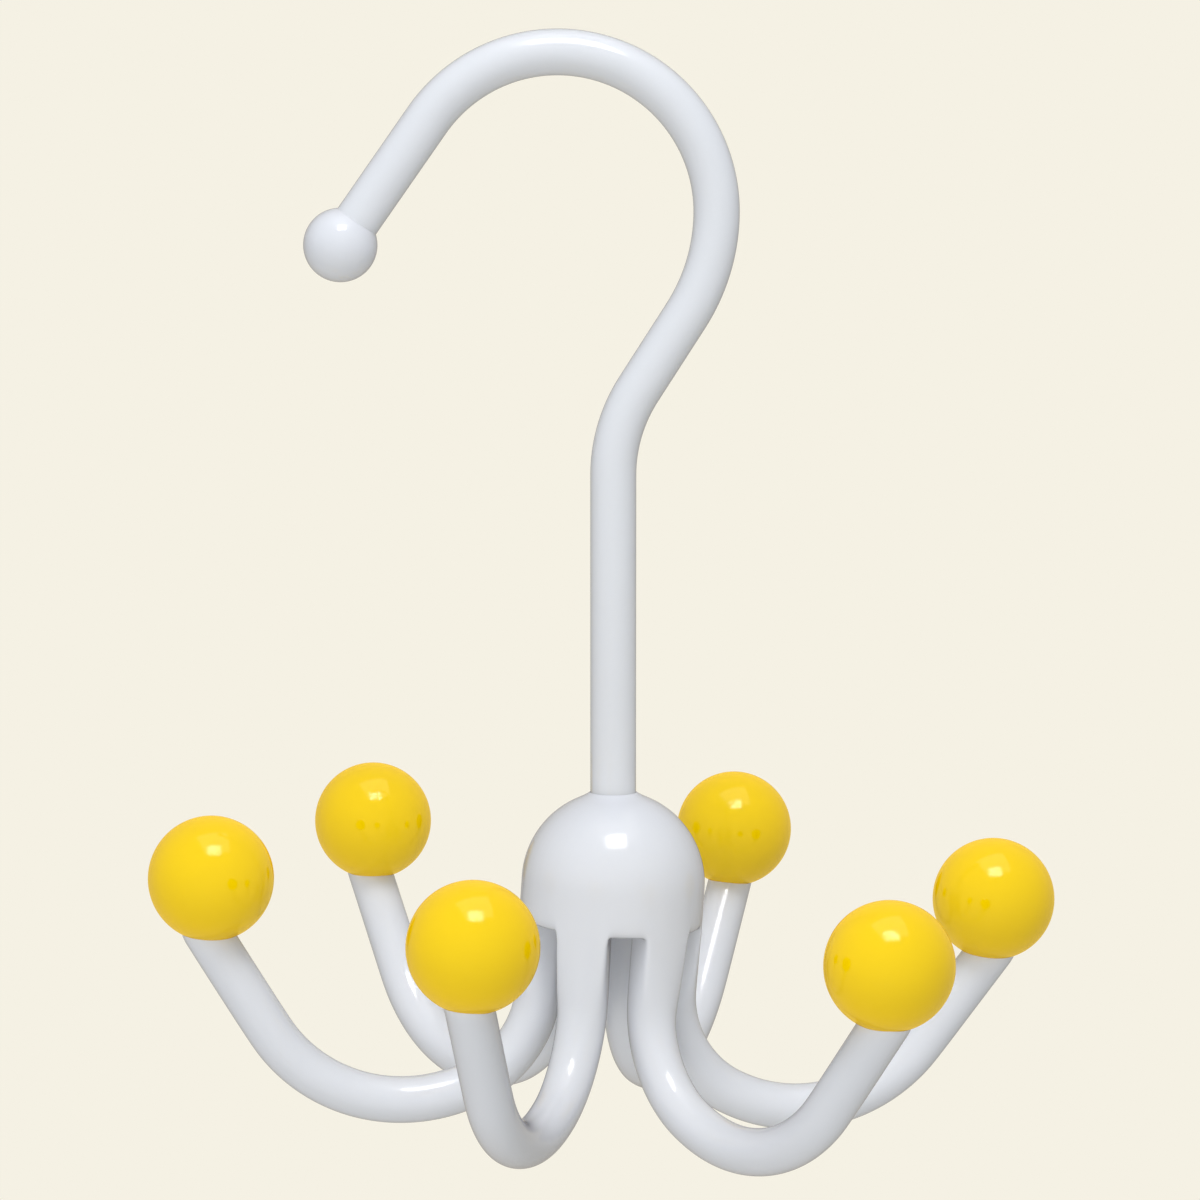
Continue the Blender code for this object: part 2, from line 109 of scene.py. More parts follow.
class HubSizes(bpy.types.PropertyGroup):
    """Sizes of the domed hub."""

    diameter: length("Hub", "Diameter of the dome and its skirt", 32.6)
    skirt_drop: length("Skirt", "Depth of the skirt's edge below the hub's centre", 7.3)
    wall: length("Wall", "Thickness of the dome", 2.3)
    stem_clearance: length("Stem clearance", "Gap between the stem and the dome's rim", 0.05)
    rim_rise: length("Rim rise", "Height of the rim above the dome", 0.45)
    flare: length("Flare", "Width over which the dome rises to its rim", 2.2)
    edge_round: length("Skirt edge", "How far the skirt's edge is rounded between the legs", 1.4)
    lean: angle("Lean", "Lean of the hub on its swivel", 3.7)
    turn: angle("Turn", "Turn of the first arm from the hook's plane", 10.9)


class ArmSizes(bpy.types.PropertyGroup):
    """Sizes of the legs and the arms that they become."""

    count: IntProperty(name="Arms", description="Number of arms round the hub", default=6, min=3, max=6)
    diameter: length("Arm", "Diameter of the round arm", 8.25)
    leg_width: length("Leg width", "Width of a leg's outer face under the skirt", 9.2)
    leg_inner_width: length("Leg inner width", "Width of a leg's inner face under the skirt", 7.0)
    leg_inner_radius: length("Leg inside", "Radius of the legs' inner faces round the hub's axis", 10.4)
    leg_fillet: length("Leg fillet", "How far a leg widens on each side into the skirt", 0.35)
    fillet_drop: length("Fillet height", "Height of the leg's fillet under the skirt", 1.4)
    leg_blend: length("Leg blend", "Length over which a leg becomes round", 16.0)
    leg_taper: length("Leg taper", "Length over which a leg narrows to the arm's diameter", 32.0)
    leg_end: length("Leg end", "Depth below the hub's centre where the bend begins", 19.15)
    leg_bend_radius: length("Leg bend radius", "Radius of the bend under the leg", 20.2)
    leg_bend: angle("Leg bend", "Turn of the bend under the leg", 65.5)
    trough_radius: length("Trough radius", "Radius of the bend that rises to the ball", 28.5)
    trough_bend: angle("Trough bend", "Turn of the bend that rises to the ball", 80.0)
    ball_diameter: length("Ball", "Diameter of the balls", 22.0)
    ball_drop: length("Ball drop", "Depth of the balls' centres below the hub's centre", 0.87)
    ball_inset: length("Ball inset", "How far a ball's centre lies inside the arm's seat", 0.5)
    ball_seat: length("Ball seat", "Height of the arm's seat over the ball's lowest point", 1.9)
    sway_across: lengths("Sway", "How far each ball stands along X from its even place",
                         (-0.67, 0.38, 1.03, -0.65, 0.24, -0.69))
    sway_up: lengths("Lift", "How far each ball stands above its even place",
                     (-0.11, 0.79, 0.09, -0.61, 0.62, -0.68))


class Finishes(bpy.types.PropertyGroup):
    """Colours of the object's finishes and of the sheet behind it."""

    coated_rod: colour("Coated rod", "White coating of the hook", (0.80, 0.82, 0.865))
    white_plastic: colour("White plastic", "Hub, arms and tip ball", (0.80, 0.82, 0.875))
    yellow_plastic: colour("Yellow plastic", "Balls on the arms", (1.0, 0.67, 0.0))
    white_skin: colour("White skin", "Tint of the skin over the white pieces", (0.89, 0.885, 0.885))
    yellow_skin: colour("Yellow skin", "Tint of the skin over the yellow balls", (1.0, 0.955, 0.72))
    core_plastic: colour("Core plastic", "Carrier inside the hub", SLOT_COLOUR["core_plastic"])
    nylon: colour("Nylon", "Swivel bush", SLOT_COLOUR["nylon"])
    plated_steel: colour("Plated steel", "Washer and lock nut", SLOT_COLOUR["plated_steel"])
    sheet: colour("Sheet", "Cream sheet behind the hanger", (0.913, 0.879, 0.776))


class StudioSizes(bpy.types.PropertyGroup):
    """Places of the camera, the sheet and the lamps."""

    camera_right: length("Camera right", "Camera's place right of the hub", -2.342)
    camera_back: length("Camera back", "Camera's distance in front of the hub", 771.6)
    camera_up: length("Camera up", "Camera's height over the hub", 138.623)
    camera_pitch: angle("Camera pitch", "How far the camera looks down", 6.519)
    lens: FloatProperty(name="Lens", description="Focal length in millimetres on a 36 mm frame",
                        default=132.0)
    floor_drop: length("Floor", "Depth of the floor below the hub", 700.0)
    sheet_front: length("Sheet front", "How far the sheet lies out in front of the hub", 1600.0)
    sheet_width: length("Sheet width", "Width of the sheet", 3200.0)
    sheet_depth: length("Sheet depth", "Distance of the sheet's upright part behind the hub", 1100.0)
    sheet_height: length("Sheet height", "Height of the sheet over its floor", 2200.0)
    sheet_bend: length("Sheet bend", "Radius of the bend between floor and upright part", 500.0)
    sheet_clear: length("Shadow reach", "Distance from the hub past which no shadow shows", 850.0)
    key_width: length("Key width", "Width of the small softbox over the hanger", 385.0)
    key_height: length("Key height", "Height of the small softbox", 320.0)
    key_rise: angle("Key rise", "Height angle of the small softbox over the hub", 62.5)
    key_side: angle("Key side", "Angle of the small softbox to the right of the camera", 8.0)
    key_watts: power("Key power", "Power of the small softbox in soft light", 2.7)
    glint_watts: power("Glint power", "Power of the same softbox in the highlights", 27.0)
    top_size: length("Overhead size", "Side of the overhead diffuser", 800.0)
    top_rise: angle("Overhead rise", "Height angle of the overhead diffuser", 80.0)
    top_side: angle("Overhead side", "Angle of the overhead diffuser to the right of the camera", 20.0)
    top_watts: power("Overhead power", "Power of the overhead diffuser", 2.4)
    fill_width: length("Fill width", "Width of the low fill, which no reflection shows", 1000.0)
    fill_height: length("Fill height", "Height of the low fill", 450.0)
    fill_rise: angle("Fill rise", "Height angle of the low fill", -28.0)
    fill_side: angle("Fill side", "Angle of the low fill to the right of the camera", -24.0)
    fill_watts: power("Fill power", "Power of the low fill", 3.2)
    back_size: length("Back size", "Side of the back light, which no reflection shows", 500.0)
    back_rise: angle("Back rise", "Height angle of the back light", 20.0)
    back_side: angle("Back side", "Angle of the back light to the right of the camera", 180.0)
    back_watts: power("Back power", "Power of the back light", 4.2)
    lamp_reach: length("Lamp distance", "Distance of the lamps from the hub", 1000.0)
    room_colour: colour("Room colour", "Colour of the even room light", (0.93, 0.965, 1.0))
    room_strength: FloatProperty(name="Room light", description="Strength of the even room light",
                                 default=0.62)


GROUPS = {"hanger_hook": HookSizes, "hanger_hub": HubSizes, "hanger_arms": ArmSizes,
          "hanger_finishes": Finishes, "hanger_studio": StudioSizes}


# Shapes: whole arrays of points, in the hub's own frame until they are leaned and placed

UPWARD = math.radians(90)
DOWNWARD = math.radians(-90)
BALL_STACKS = 64
BALL_SIDES = 96
SHARP_EDGE = math.radians(40)


def unit_circle(angles):
    """Points (cosine, sine) of the unit circle at these angles."""
    return np.stack([np.cos(angles), np.sin(angles)], axis=-1)


def even_circle(count):
    """So many points spread evenly round the unit circle."""
    return unit_circle(2 * np.pi * np.arange(count) / count)


def even_shares(steps):
    """Shares of a length after each of so many equal steps."""
    return np.arange(1, steps + 1) / steps


def control_radius(step):
    """Radius of the control points, this angle apart, whose rounded curve is the unit circle.

    The rounded curve's point is (before + 4 here + after) / 6, so the radius is 6 / (4 + 2 cos step).
    """
    return 6 / (4 + 2 * math.cos(step))


def leaned(points, share, lean):
    """Points turned about Y by a share of the lean, then moved from the hub's frame to the shared one.

    With tilt = share times lean: x' = x cos tilt + z sin tilt, and z' = z cos tilt - x sin tilt.
    """
    tilt = np.broadcast_to(np.asarray(share) * lean, points.shape[:-1])
    cosine, sine = np.cos(tilt), np.sin(tilt)
    x, y, z = points[..., 0], points[..., 1], points[..., 2]
    return np.stack([x * cosine + z * sine, y, z * cosine - x * sine], axis=-1) + HUB_CENTRE


def turned_about_z(points, turn):
    """x' = x cos turn - y sin turn, and y' = x sin turn + y cos turn."""
    cosine, sine = np.cos(turn), np.sin(turn)
    x, y, z = points[..., 0], points[..., 1], points[..., 2]
    return np.stack([x * cosine - y * sine, x * sine + y * cosine, z], axis=-1)


class PlanePath:
    """A path of straights and arcs in one plane, kept as rows of (across, up, heading)."""

    def __init__(self, across, up, heading):
        self.rows = np.array([[across, up, heading]])

    def straight(self, distance, shares):
        """Place = last place + each share of the distance along the heading."""
        across, up, heading = self.rows[-1]
        gone = distance * shares
        self.rows = np.vstack([self.rows, np.column_stack([
            across + gone * math.cos(heading), up + gone * math.sin(heading),
            np.full(len(gone), heading)])])

    def bend(self, radius, turn, step):
        """Place = centre + radius at the turned heading; to the left where turn is positive."""
        across, up, heading = self.rows[-1]
        side = math.copysign(1, turn)
        centre = (across - side * radius * math.sin(heading), up + side * radius * math.cos(heading))
        headings = heading + turn * even_shares(math.ceil(abs(turn) / step))
        self.rows = np.vstack([self.rows, np.column_stack([
            centre[0] + side * radius * np.sin(headings),
            centre[1] - side * radius * np.cos(headings), headings])])


def carried(path, depth, width):
    """Sections carried along a path in the XZ plane.

    Point = place + depth along the path's left normal (-sin h, cos h) + width along Y, with heading h.
    """
    across, up, heading = (path[:, [column]] for column in range(3))
    return np.stack([across - depth * np.sin(heading), width, up + depth * np.cos(heading)], axis=-1)


def grid_faces(rows, columns):
    """Quads of a grid whose columns run round and close."""
    first = np.arange(rows - 1)[:, None] * columns
    here = np.arange(columns)[None, :]
    after = (here + 1) % columns
    quads = [first + here, first + after, first + columns + after, first + columns + here]
    return np.stack(quads, axis=-1).reshape(-1, 4)


def fan_faces(ring, pole):
    """Triangles from a closed ring of point numbers to a pole."""
    return np.stack([ring, np.roll(ring, -1), np.full(len(ring), pole)], axis=-1)


def closed_tube(rows):
    """Points and faces of a tube through rows of rings, each end closed to its ring's mean."""
    count, columns = rows.shape[:2]
    points = np.vstack([rows.reshape(-1, 3), rows[0].mean(axis=0), rows[-1].mean(axis=0)])
    last = count * columns
    faces = [grid_faces(count, columns), fan_faces(np.arange(columns)[::-1], last),
             fan_faces(np.arange(last - columns, last), last + 1)]
    return points, [face for group in faces for face in group.tolist()]


def closed_ball(centre, radius):
    """A ball: point = centre + radius (sin p cos q, sin p sin q, cos p), closed on its two poles."""
    polar = np.pi * even_shares(BALL_STACKS)[:-1]
    rings = np.empty((len(polar), BALL_SIDES, 3))
    rings[..., :2] = np.sin(polar)[:, None, None] * even_circle(BALL_SIDES)
    rings[..., 2] = np.cos(polar)[:, None]
    points, faces = closed_tube(centre + radius * rings)
    points[-2:] = centre + radius * np.array([[0, 0, 1], [0, 0, -1]])
    return points, faces


def outward(points, faces):
    """The faces, turned about where the closed shape's signed volume comes out negative."""
    fans = [(face[0], *pair) for face in faces for pair in zip(face[1:], face[2:])]
    first, second, third = (points[column] for column in np.array(fans).T)
    volume = np.einsum("ij,ij->i", first, np.cross(second, third)).sum()
    return faces if volume > 0 else [face[::-1] for face in faces]


def close_openings(mesh):
    """Closes each round opening of a mesh with one flat face."""
    body = bmesh.new()
    body.from_mesh(mesh)
    bmesh.ops.holes_fill(body, edges=[edge for edge in body.edges if edge.is_boundary])
    body.to_mesh(mesh)
    body.free()


def add_piece(name, points, faces, material, body, slot, replaced, normals=None):
    """Puts a computed shape in the scene, hangs it on its body and hides the solids that it stands for.

    A shape that comes with normals is cut out of a larger surface, so its openings are closed here.
    """
    mesh = bpy.data.meshes.new(name)
    mesh.from_pydata(points, [], faces if normals is not None else outward(points, faces))
    mesh.materials.append(material)
    mesh.shade_smooth()
    if normals is None:
        mesh.set_sharp_from_angle(angle=SHARP_EDGE)
    else:
        close_openings(mesh)
        mesh.normals_split_custom_set_from_vertices(normals.tolist())
    piece = bpy.data.objects.new(name, mesh)
    bpy.context.scene.collection.objects.link(piece)
    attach(piece, body)
    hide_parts(*replaced)
    return piece


# The hook

ROD_SIDES = 72
STEM_STEPS = 12
NECK_STEPS = 4
TIP_STEPS = 6
HOOK_BEND_STEP = math.radians(2)
JOURNAL_CHAMFER = 0.5 * MM
PRESS_GAP = 0.3 * MM


def hook_rows(hook):
    """Rings of the rod from its chamfered journal to its tip, and the path's last row."""
    path = PlanePath(0, hook.shoulder_height, UPWARD)
    path.straight(hook.stem_height - hook.shoulder_height, even_shares(STEM_STEPS))
    path.bend(hook.neck_radius, hook.neck_turn, HOOK_BEND_STEP)
    path.straight(hook.neck_length, even_shares(NECK_STEPS))
    path.bend(hook.shoulder_radius, hook.shoulder_turn, HOOK_BEND_STEP)
    path.bend(hook.crown_radius, hook.crown_turn, HOOK_BEND_STEP)
    path.straight(hook.tip_length, even_shares(TIP_STEPS))
    foot_heights = hook.journal_foot, hook.journal_foot + JOURNAL_CHAMFER, hook.shoulder_height
    places = np.vstack([[(0, height, UPWARD) for height in foot_heights], path.rows])
    journal = hook.journal_diameter / 2
    radii = np.full(len(places), hook.rod_diameter / 2)
    radii[:len(foot_heights)] = journal - JOURNAL_CHAMFER, journal, journal
    rings = radii[:, None, None] * even_circle(ROD_SIDES)
    return carried(places, rings[..., 0], rings[..., 1]) + HUB_CENTRE, path.rows[-1]


def tip_ball_centre(hook, tip):
    """Centre of the ball pressed over the rod's end, from the depth of its bore."""
    across, up, heading = tip
    bore = hook.rod_diameter / 2 + PRESS_GAP
    rim = math.sqrt((hook.tip_ball_diameter / 2) ** 2 - bore ** 2)
    forward = rim - hook.tip_bore_depth + PRESS_GAP
    return HUB_CENTRE + [across + forward * math.cos(heading), 0, up + forward * math.sin(heading)]


# The hub with its six legs, as one rounded cage that is parted into dome and arms afterwards

# Columns of the cage, as shares of a leg's half width and of the notch between two legs
LEG_SHARES = np.array([-1, -0.82, -0.5, -0.17, 0.17, 0.5, 0.82, 1])
NOTCH_SHARES = np.array([0.1, 0.3, 0.5, 0.7, 0.9])
LEG_SEGMENTS = len(LEG_SHARES) - 1
SIDE_SEGMENTS = 4
COLUMNS_PER_ARM = LEG_SEGMENTS + len(NOTCH_SHARES) + 1
LEG_RING = 2 * (LEG_SEGMENTS + SIDE_SEGMENTS)

# Rows of the dome, with shares of the flare and of the skirt, and the rows that hold its edges firm
DOME_ROWS = 16
INNER_ROWS = 8
FLARE_SHARES = np.array([0, 0.03, 0.12, 0.3, 0.6])
FLARE_CURVE = 2.2
SKIRT_MIDDLE = 0.45
BORE_SUPPORT = 0.08 * MM
EDGE_SUPPORT = 1 * MM
LEG_SUPPORT = 0.9 * MM
NOTCH_WEIGHTS = np.array([0.25, 0.5, 0.25])[:, None, None]

# Rows of an arm, with shares of the straight leg, and its end inside the ball
LEG_ROWS = np.array([0.05, 0.12, 0.21, 0.36, 0.52, 0.68, 0.84, 1.0])
LEG_BEND_STEP = math.radians(5)
TROUGH_BEND_STEP = math.radians(6)
SEAT_STEPS = 2
ARM_TAIL = 2.5 * MM
BLEND_CURVE = 1.15

CAGE_LEVELS = 2


def column_angles(hub, arms):
    """Angles of the cage's columns: eight across each leg and five across each notch."""
    half = math.asin((arms.leg_width + 2 * arms.leg_fillet) / hub.diameter)
    sector = 2 * math.pi / arms.count
    one = np.concatenate([half * LEG_SHARES, half + (sector - 2 * half) * NOTCH_SHARES])
    return (hub.turn + one[None, :] + sector * np.arange(arms.count)[:, None]).ravel()


def control_circle(angles):
    """Control points whose rounded curve passes through the unit circle at these angles.

    The rounded curve's point is (before + 4 here + after) / 6, and that is solved for here.
    """
    here = np.eye(len(angles))
    matrix = 4 * here + np.roll(here, 1, axis=1) + np.roll(here, -1, axis=1)
    return np.linalg.solve(matrix / 6, unit_circle(angles))


def dome_profile(hub, rod_radius):
    """Rows (radius, height, share of the lean) over the outside of the dome to the skirt's edge.

    Over the flare the rim stands above the sphere by its rise times (1 - share) ^ FLARE_CURVE.
    """
    radius = hub.diameter / 2
    bore = rod_radius + hub.stem_clearance
    flare = bore + hub.flare * FLARE_SHARES
    rim = np.sqrt(radius ** 2 - flare ** 2) + hub.rim_rise * (1 - FLARE_SHARES) ** FLARE_CURVE
    first = math.asin((bore + hub.flare) / radius)
    share = np.arange(DOME_ROWS) / DOME_ROWS
    polar = first + (math.pi / 2 - first) * share
    control = radius * control_radius(polar[1] - polar[0])
    edge = -hub.skirt_drop
    rows = [(bore, rim[0] - hub.wall / 2, 0), (bore, rim[0] - BORE_SUPPORT, 0)]
    rows += [(across, up, 0) for across, up in zip(flare, rim)]
    rows += zip(control * np.sin(polar), control * np.cos(polar), share)
    rows += [(radius, up, 1) for up in (0, SKIRT_MIDDLE * edge, edge + hub.edge_round, edge)]
    return np.array(rows)


def inner_profile(hub, rod_radius):
    """Rows (radius, height, share of the lean) up the inside, from under the skirt to the bore."""
    radius = hub.diameter / 2 - hub.wall
    last = math.asin((rod_radius + hub.stem_clearance) / radius)
    share = np.arange(INNER_ROWS + 1) / INNER_ROWS
    polar = math.pi / 2 + (last - math.pi / 2) * share
    edge = -hub.skirt_drop
    rows = [(hub.diameter / 2 - hub.edge_round, edge, 1), (radius, edge, 1),
            (radius, edge + EDGE_SUPPORT, 1)]
    rows += zip(radius * np.sin(polar), radius * np.cos(polar), 1 - share)
    return np.array(rows)


def leg_ring_square(hub, arms):
    """Ring of a leg at the skirt, as (outward, sideways): two arcs joined by straight sides.

    It goes across the outer face, in along one side, back across the inner face and out again.
    """
    outer = hub.diameter / 2 * unit_circle(math.asin(arms.leg_width / hub.diameter) * LEG_SHARES)
    half = math.asin(arms.leg_inner_width / 2 / arms.leg_inner_radius)
    inner = arms.leg_inner_radius * unit_circle(-half * LEG_SHARES)
    depth = hub.diameter / 2 - arms.leg_inner_radius
    gone = np.array([hub.edge_round, hub.wall, depth - LEG_SUPPORT])[:, None] / depth
    side = outer[-1] + gone * (inner[0] - outer[-1])
    return np.vstack([outer, side, inner, side[::-1] * [1, -1]])


def leg_ring_round(hub, arms):
    """The same ring on the round arm, with equal steps and widened for its rounding."""
    step = 2 * math.pi / LEG_RING
    turn = step * (np.arange(LEG_RING) - LEG_SEGMENTS / 2)
    radius = arms.diameter / 2
    return radius * control_radius(step) * unit_circle(turn) + [hub.diameter / 2 - radius, 0]


def arm_path(hub, arms):
    """Centreline of an arm from the skirt's edge into its ball, and its reach at the ball's seat."""
    path = PlanePath(hub.diameter / 2 - arms.diameter / 2, -hub.skirt_drop, DOWNWARD)
    path.straight(arms.leg_end - hub.skirt_drop, LEG_ROWS)
    path.bend(arms.leg_bend_radius, arms.leg_bend, LEG_BEND_STEP)
    path.bend(arms.trough_radius, arms.trough_bend, TROUGH_BEND_STEP)
    _, up, heading = path.rows[-1]
    seat = arms.ball_seat - arms.ball_diameter / 2 - arms.ball_drop
    path.straight((seat - up) / math.sin(heading), even_shares(SEAT_STEPS))
    seat_across = path.rows[-1][0]
    path.straight(ARM_TAIL, even_shares(1))
    return path.rows, seat_across


def arm_rings(hub, arms):
    """Rings of one arm's cage along +X, from the skirt's edge into the ball, and their sway.

    Ring = square ring + (round ring - square ring) times an eased share of the way down the leg.
    Its sideways part is then scaled, so that the rounded leg has the tapering width plus the fillet.
    The sway is each ring's share of the ball's own: 3 s^2 - 2 s^3 of the way s from leg to ball.
    """
    path, _ = arm_path(hub, arms)
    gone = np.concatenate([[0], np.cumsum(np.hypot(*np.diff(path[:, :2], axis=0).T))])
    eased = np.clip(gone / arms.leg_blend, 0, 1)[:, None, None] ** BLEND_CURVE
    square = leg_ring_square(hub, arms)
    ring = square + (leg_ring_round(hub, arms) - square) * eased
    sideways = ring[..., 1]
    smoothed = (np.roll(sideways, 1, axis=1) + 4 * sideways + np.roll(sideways, -1, axis=1)) / 6
    taper = np.clip(gone / arms.leg_taper, 0, 1)
    half = (arms.leg_width + (arms.diameter - arms.leg_width) * taper) / 2
    half = half + arms.leg_fillet * np.clip(1 - gone / arms.fillet_drop, 0, 1) ** 2
    widened = sideways * (half / np.abs(smoothed).max(axis=1))[:, None]
    sway = np.clip((gone - arms.leg_blend) / (gone[-2] - arms.leg_blend), 0, 1)
    return carried(path, ring[..., 0] - path[0, 0], widened), sway * sway * (3 - 2 * sway)


def arm_turn(hub, arms, number):
    """Angle of an arm round the hub's axis."""
    return hub.turn + 2 * math.pi * number / arms.count


def ball_sway(arms, number):
    """How far a ball stands from its even place."""
    return np.array([arms.sway_across[number], 0, arms.sway_up[number]])


def dome_cage(hub, arms, rod_radius):
    """Points and faces of the dome's shell, with the row of its outer edge.

    Point = (radius cos q, radius sin q, height) over the profile's rows and the columns' angles q.
    The underside is left open over the legs. Between them the edge's row becomes a weighted mean of
    itself and the rows on both sides of it, which rounds the edge.
    """
    circle = control_circle(column_angles(hub, arms))
    outer = dome_profile(hub, rod_radius)
    profile = np.vstack([outer, inner_profile(hub, rod_radius)])
    shell = np.empty((len(profile), len(circle), 3))
    shell[..., :2] = profile[:, None, :1] * circle[None]
    shell[..., 2] = profile[:, None, 1]
    edge = len(outer) - 1
    faces = grid_faces(len(profile) + 1, len(circle)) % shell[..., 0].size
    column = np.arange(len(circle)) % COLUMNS_PER_ARM
    shown = np.ones(shell.shape[:2], bool)
    shown[edge:edge + 2] = column >= LEG_SEGMENTS
    in_notch = column > LEG_SEGMENTS
    shell[edge, in_notch] = (shell[edge - 1:edge + 2, in_notch] * NOTCH_WEIGHTS).sum(axis=0)
    return leaned(shell, profile[:, 2:3], hub.lean), faces[shown.ravel()].tolist(), edge


def arm_cage(hub, arms, number, first_id, edge):
    """Points and faces of one arm's cage, joined to the dome's own points round its top.

    The dome has its rows round the leg at edge, edge + 1 and edge + 2, and first_id points in all.
    The arm's first ring takes them over for its outer face and the ends of its sides. Behind them a
    ledge, a line of points just outside the inner face, closes the way to the dome's inside.
    """
    columns = COLUMNS_PER_ARM * arms.count
    across = number * COLUMNS_PER_ARM + np.arange(LEG_SEGMENTS + 1)
    outer_row, middle_row, inner_row = (row * columns + across for row in (edge, edge + 1, edge + 2))
    rings, sway = arm_rings(hub, arms)
    rings = leaned(turned_about_z(rings, arm_turn(hub, arms, number)), 1, hub.lean)
    rings = rings + ball_sway(arms, number) * sway[:, None, None]
    ids = first_id + np.arange(rings[..., 0].size).reshape(rings.shape[:2])
    face_end = LEG_SEGMENTS + 1
    inner_start = LEG_SEGMENTS + SIDE_SEGMENTS
    inner_end = inner_start + face_end
    ids[0, :face_end] = outer_row
    ids[0, face_end:face_end + 2] = middle_row[-1], inner_row[-1]
    ids[0, -2:] = inner_row[0], middle_row[0]
    back_turn = column_angles(hub, arms)[across[1:-1]]
    ledge = np.column_stack([(arms.leg_inner_radius + LEG_SUPPORT) * unit_circle(back_turn),
                             np.full(len(back_turn), -hub.skirt_drop)])
    ledge_ids = first_id + rings[..., 0].size + np.arange(len(ledge))
    ledge_row = np.array([ids[0, inner_end], *ledge_ids, ids[0, inner_start - 1]])
    inner_face = ids[0, inner_start:inner_end][::-1]
    faces = ids.ravel()[grid_faces(*ids.shape)].tolist()
    for upper, lower in ((inner_row, ledge_row), (ledge_row, inner_face)):
        faces += np.column_stack([upper[:-1], lower[:-1], lower[1:], upper[1:]]).tolist()
    faces.append(ids[-1].tolist())
    return np.vstack([rings.reshape(-1, 3), leaned(ledge, 1, hub.lean)]), faces


def rounded(points, faces, numbers, levels):
    """The cage's rounded surface: its points, normals, quads and their piece numbers."""
    mesh = bpy.data.meshes.new("cage")
    mesh.from_pydata(points, [], outward(points, faces))
    mesh.attributes.new("piece_number", "INT", "FACE").data.foreach_set("value", numbers)
    cage = bpy.data.objects.new("cage", mesh)
    bpy.context.scene.collection.objects.link(cage)
    modifier = cage.modifiers.new("round", "SUBSURF")
    modifier.levels = modifier.render_levels = levels
    final = cage.evaluated_get(bpy.context.evaluated_depsgraph_get()).to_mesh()
    places = np.empty(len(final.vertices) * 3)
    normals = np.empty(len(final.vertices) * 3)
    quads = np.empty(len(final.loops), int)
    owner = np.empty(len(final.polygons), int)
    final.vertices.foreach_get("co", places)
    final.vertex_normals.foreach_get("vector", normals)
    final.loops.foreach_get("vertex_index", quads)
    final.attributes["piece_number"].data.foreach_get("value", owner)
    bpy.data.objects.remove(cage)
    return places.reshape(-1, 3), normals.reshape(-1, 3), quads.reshape(-1, 4), owner


def hub_surface(hub, arms, rod_radius):
    """The rounded surface of the dome, piece 0, and the arms, numbered from 1."""
    shell, faces, edge = dome_cage(hub, arms, rod_radius)
    points, numbers = [shell.reshape(-1, 3)], [0] * len(faces)
    for number in range(arms.count):
        more, own = arm_cage(hub, arms, number, sum(map(len, points)), edge)
        points.append(more)
        faces += own
        numbers += [number + 1] * len(own)
    return rounded(np.vstack(points), faces, numbers, CAGE_LEVELS)


# Finishes, with the grains of their noise counted along a metre

ROD_ROUGHNESS = 0.11
WHITE_ROUGHNESS = 0.07
YELLOW_ROUGHNESS = 0.06
COVER_ROUGHNESS = 0.2
PLASTIC_IOR = 1.47
SKIN_IOR = 1.01
FLOW_GRAINS = 38
FLOW_SHADES = (0.985, 1.01)
POLISH_GRAINS = 900
POLISH_RANGE = 0.03
RIPPLE_GRAINS = 160
FINE_RIPPLE_GRAINS = 2600
FINE_RIPPLE_SHARE = 0.05
RIPPLE_HEIGHT = 0.02 * MM
CARRIER_GRAINS = 1400
NYLON_GRAINS = 2200
MATTE_IOR = 1.5
MATTE_SHADES = (0.93, 1.03)
MATTE_ROUGHNESS = 0.4
MATTE_RANGE = 0.15
MATTE_HEIGHT = 0.05 * MM
TURNING_RINGS = 900
TURNING_HEIGHT = 0.01 * MM
PLATING_GRAINS = 500
PLATING_SHADES = (0.85, 1.1)
PLATING_ROUGHNESS = 0.24
PLATING_RANGE = 0.18
CARD_GRAINS = 6
CARD_SHADE = 0.97
CARD_BOUNCE = 0.55
CARD_GLOW = 0.6
SHADOW_FADE = 0.35


class Wire:
    """A socket whose operators add Math nodes, so that shader maths reads as an expression."""

    def __init__(self, finish, socket):
        self.finish, self.socket = finish, socket

    def maths(self, operation, *values):
        """Adds one Math node on these values."""
        return self.finish.node("ShaderNodeMath", {"operation": operation}, dict(enumerate(values)))

    def __add__(self, other):
        return self.maths("ADD", self, other)

    def __mul__(self, other):
        return self.maths("MULTIPLY", self, other)

    __radd__, __rmul__ = __add__, __mul__


